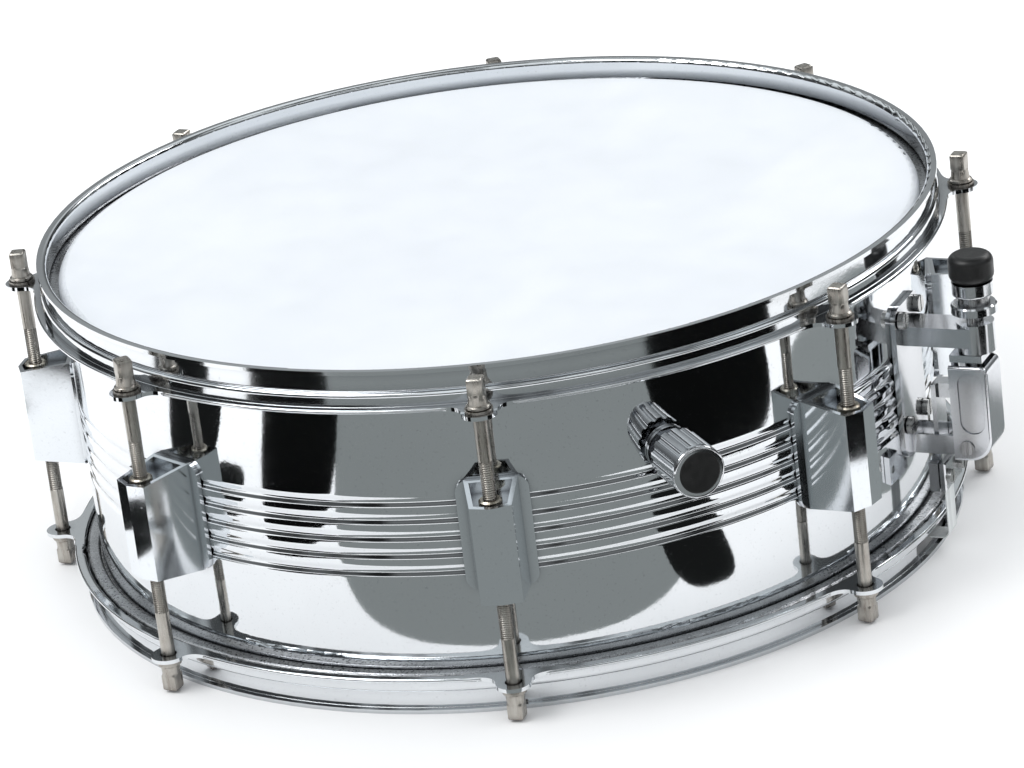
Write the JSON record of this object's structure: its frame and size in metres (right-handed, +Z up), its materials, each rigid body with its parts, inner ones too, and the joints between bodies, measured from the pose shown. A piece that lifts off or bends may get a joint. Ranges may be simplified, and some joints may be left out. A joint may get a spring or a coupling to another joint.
{
  "type": "snare drum",
  "caption": "Shallow chrome snare drum with beaded steel shell, triple-flanged hoops, box lugs, side throw-off lever and knob, snare wires and an internal muffler with an outside knob.",
  "frame": {"origin": "on the drum's axis, in the plane the bottom hoop's lip stands on", "axes": "+Z up along the drum's axis, +X out through the strainer, snares along X with the butt plate on -X"},
  "size_m": [0.4092, 0.3744, 0.1416],
  "materials": {
    "shell_chrome": "polished chrome plating on rolled steel",
    "hoop_chrome": "polished chrome plating on bent steel strip",
    "lug_chrome": "polished chrome plating on a die casting",
    "lever_chrome": "chrome plating, slightly satin on the finger recess",
    "knob_chrome": "chrome plating on a fluted knob",
    "fitting_chrome": "chrome plating on small pressed fittings",
    "batter_film": "white coated polyester film",
    "snare_side_film": "thin hazy polyester film",
    "flesh_hoop_aluminium": "plain extruded aluminium rim",
    "swivel_nut_brass": "plain turned brass",
    "spring_steel": "plain spring steel",
    "screw_steel": "zinc-plated steel",
    "rod_nickel": "dull nickel plating, grey-brown in the threads",
    "pin_steel": "bright turned steel",
    "bracket_steel": "zinc-plated pressed steel",
    "black_plastic": "black moulded plastic",
    "strap_plastic": "flexible milky plastic strap",
    "snare_wire_steel": "bright coiled steel wire",
    "felt": "pressed wool felt"
  },
  "bodies": {
    "drum": {"shell": "shell_chrome", "vent_grommet": "fitting_chrome", "batter_hoop": "hoop_chrome", "snare_side_hoop": "hoop_chrome", "batter_head_film": "batter_film", "snare_side_head_film": "snare_side_film", "batter_flesh_hoop": "flesh_hoop_aluminium", "snare_side_flesh_hoop": "flesh_hoop_aluminium", "lugs": "lug_chrome", "lug_swivel_nuts": "swivel_nut_brass", "lug_springs": "spring_steel", "lug_screws": "screw_steel", "lug_screw_washers": "screw_steel", "rod_washers": "rod_nickel", "mount_bolts": "screw_steel", "mount_nuts": "screw_steel", "strainer_base": "fitting_chrome", "butt_plate": "fitting_chrome", "butt_clamp_plate": "fitting_chrome", "butt_clamp_screws": "screw_steel", "muffler_bushing": "fitting_chrome", "muffler_bracket": "bracket_steel", "muffler_arm_pin": "pin_steel"},
    "throw_lever": {"throw_lever": "lever_chrome", "throw_lever_camshaft": "pin_steel"},
    "carriage": {"carriage_frame": "fitting_chrome", "carriage_top_plate": "fitting_chrome", "guide_posts": "pin_steel"},
    "tension_knob": {"tension_screw": "pin_steel", "tension_knob_collar": "fitting_chrome", "tension_knob_cap": "black_plastic"},
    "cord_clamp": {"cord_clamp_block": "fitting_chrome", "cord_clamp_plate": "fitting_chrome", "cord_clamp_screws": "screw_steel"},
    "snares": {"strainer_strap": "strap_plastic", "butt_strap": "strap_plastic", "snare_end_plates": "fitting_chrome", "snare_wires": "snare_wire_steel"},
    "muffler_knob": {"muffler_knob": "knob_chrome", "muffler_knob_inlay": "black_plastic", "muffler_shaft": "pin_steel"},
    "muffler_arm": {"muffler_arm": "bracket_steel", "muffler_pad": "felt"},
    "top_rod_1": {"top_rod_1": "rod_nickel"},
    "top_rod_2": {"top_rod_2": "rod_nickel"},
    "top_rod_3": {"top_rod_3": "rod_nickel"},
    "top_rod_4": {"top_rod_4": "rod_nickel"},
    "top_rod_5": {"top_rod_5": "rod_nickel"},
    "top_rod_6": {"top_rod_6": "rod_nickel"},
    "top_rod_7": {"top_rod_7": "rod_nickel"},
    "top_rod_8": {"top_rod_8": "rod_nickel"},
    "bottom_rod_1": {"bottom_rod_1": "rod_nickel"},
    "bottom_rod_2": {"bottom_rod_2": "rod_nickel"},
    "bottom_rod_3": {"bottom_rod_3": "rod_nickel"},
    "bottom_rod_4": {"bottom_rod_4": "rod_nickel"},
    "bottom_rod_5": {"bottom_rod_5": "rod_nickel"},
    "bottom_rod_6": {"bottom_rod_6": "rod_nickel"},
    "bottom_rod_7": {"bottom_rod_7": "rod_nickel"},
    "bottom_rod_8": {"bottom_rod_8": "rod_nickel"}
  },
  "joints": [
    {"name": "throw_lever_hinge", "type": "hinge", "parent": "drum", "child": "throw_lever", "pos_m": [0.2015, 0, 0.047], "axis": [0, 1, 0], "range_deg": [0, 75]},
    {"name": "carriage_slide", "type": "slide", "parent": "drum", "child": "carriage", "axis": [0, 0, -1], "range_m": [0, 0.0035]},
    {"name": "tension_knob_turn", "type": "hinge", "parent": "carriage", "child": "tension_knob", "pos_m": [0.206, 0, 0.12], "axis": [0, 0, 1], "range_deg": [0, 360]},
    {"name": "cord_clamp_slide", "type": "slide", "parent": "carriage", "child": "cord_clamp", "axis": [0, 0, -1], "range_m": [0, 0.0008]},
    {"name": "snare_drop", "type": "slide", "parent": "cord_clamp", "child": "snares", "axis": [0, 0, 1], "range_m": [0, 0.0015]},
    {"name": "muffler_knob_turn", "type": "hinge", "parent": "drum", "child": "muffler_knob", "pos_m": [0.13718, -0.13718, 0.092], "axis": [0.7071, -0.7071, 0], "range_deg": [0, 180]},
    {"name": "muffler_arm_lift", "type": "hinge", "parent": "drum", "child": "muffler_arm", "pos_m": [0.10607, -0.10607, 0.1], "axis": [0.7071, 0.7071, 0], "range_deg": [0, 5]},
    {"name": "top_rod_1_turn", "type": "hinge", "parent": "drum", "child": "top_rod_1", "pos_m": [0.17849, 0.07393, 0.1266], "axis": [0, 0, 1], "range_deg": [-360, 360]},
    {"name": "top_rod_2_turn", "type": "hinge", "parent": "drum", "child": "top_rod_2", "pos_m": [0.07393, 0.17849, 0.1266], "axis": [0, 0, 1], "range_deg": [-360, 360]},
    {"name": "top_rod_3_turn", "type": "hinge", "parent": "drum", "child": "top_rod_3", "pos_m": [-0.07393, 0.17849, 0.1266], "axis": [0, 0, 1], "range_deg": [-360, 360]},
    {"name": "top_rod_4_turn", "type": "hinge", "parent": "drum", "child": "top_rod_4", "pos_m": [-0.17849, 0.07393, 0.1266], "axis": [0, 0, 1], "range_deg": [-360, 360]},
    {"name": "top_rod_5_turn", "type": "hinge", "parent": "drum", "child": "top_rod_5", "pos_m": [-0.17849, -0.07393, 0.1266], "axis": [0, 0, 1], "range_deg": [-360, 360]},
    {"name": "top_rod_6_turn", "type": "hinge", "parent": "drum", "child": "top_rod_6", "pos_m": [-0.07393, -0.17849, 0.1266], "axis": [0, 0, 1], "range_deg": [-360, 360]},
    {"name": "top_rod_7_turn", "type": "hinge", "parent": "drum", "child": "top_rod_7", "pos_m": [0.07393, -0.17849, 0.1266], "axis": [0, 0, 1], "range_deg": [-360, 360]},
    {"name": "top_rod_8_turn", "type": "hinge", "parent": "drum", "child": "top_rod_8", "pos_m": [0.17849, -0.07393, 0.1266], "axis": [0, 0, 1], "range_deg": [-360, 360]},
    {"name": "bottom_rod_1_turn", "type": "hinge", "parent": "drum", "child": "bottom_rod_1", "pos_m": [0.17849, 0.07393, 0.015], "axis": [0, 0, 1], "range_deg": [-360, 360]},
    {"name": "bottom_rod_2_turn", "type": "hinge", "parent": "drum", "child": "bottom_rod_2", "pos_m": [0.07393, 0.17849, 0.015], "axis": [0, 0, 1], "range_deg": [-360, 360]},
    {"name": "bottom_rod_3_turn", "type": "hinge", "parent": "drum", "child": "bottom_rod_3", "pos_m": [-0.07393, 0.17849, 0.015], "axis": [0, 0, 1], "range_deg": [-360, 360]},
    {"name": "bottom_rod_4_turn", "type": "hinge", "parent": "drum", "child": "bottom_rod_4", "pos_m": [-0.17849, 0.07393, 0.015], "axis": [0, 0, 1], "range_deg": [-360, 360]},
    {"name": "bottom_rod_5_turn", "type": "hinge", "parent": "drum", "child": "bottom_rod_5", "pos_m": [-0.17849, -0.07393, 0.015], "axis": [0, 0, 1], "range_deg": [-360, 360]},
    {"name": "bottom_rod_6_turn", "type": "hinge", "parent": "drum", "child": "bottom_rod_6", "pos_m": [-0.07393, -0.17849, 0.015], "axis": [0, 0, 1], "range_deg": [-360, 360]},
    {"name": "bottom_rod_7_turn", "type": "hinge", "parent": "drum", "child": "bottom_rod_7", "pos_m": [0.07393, -0.17849, 0.015], "axis": [0, 0, 1], "range_deg": [-360, 360]},
    {"name": "bottom_rod_8_turn", "type": "hinge", "parent": "drum", "child": "bottom_rod_8", "pos_m": [0.17849, -0.07393, 0.015], "axis": [0, 0, 1], "range_deg": [-360, 360]}
  ],
  "couplings": [
    {"joint": "throw_lever_hinge", "follows": "carriage_slide", "rad_per_m": 374},
    {"joint": "snare_drop", "follows": "carriage_slide", "ratio": 0.42857},
    {"joint": "tension_knob_turn", "follows": "cord_clamp_slide", "rad_per_m": 7854},
    {"joint": "muffler_arm_lift", "follows": "muffler_knob_turn", "ratio": 0.027778}
  ]
}
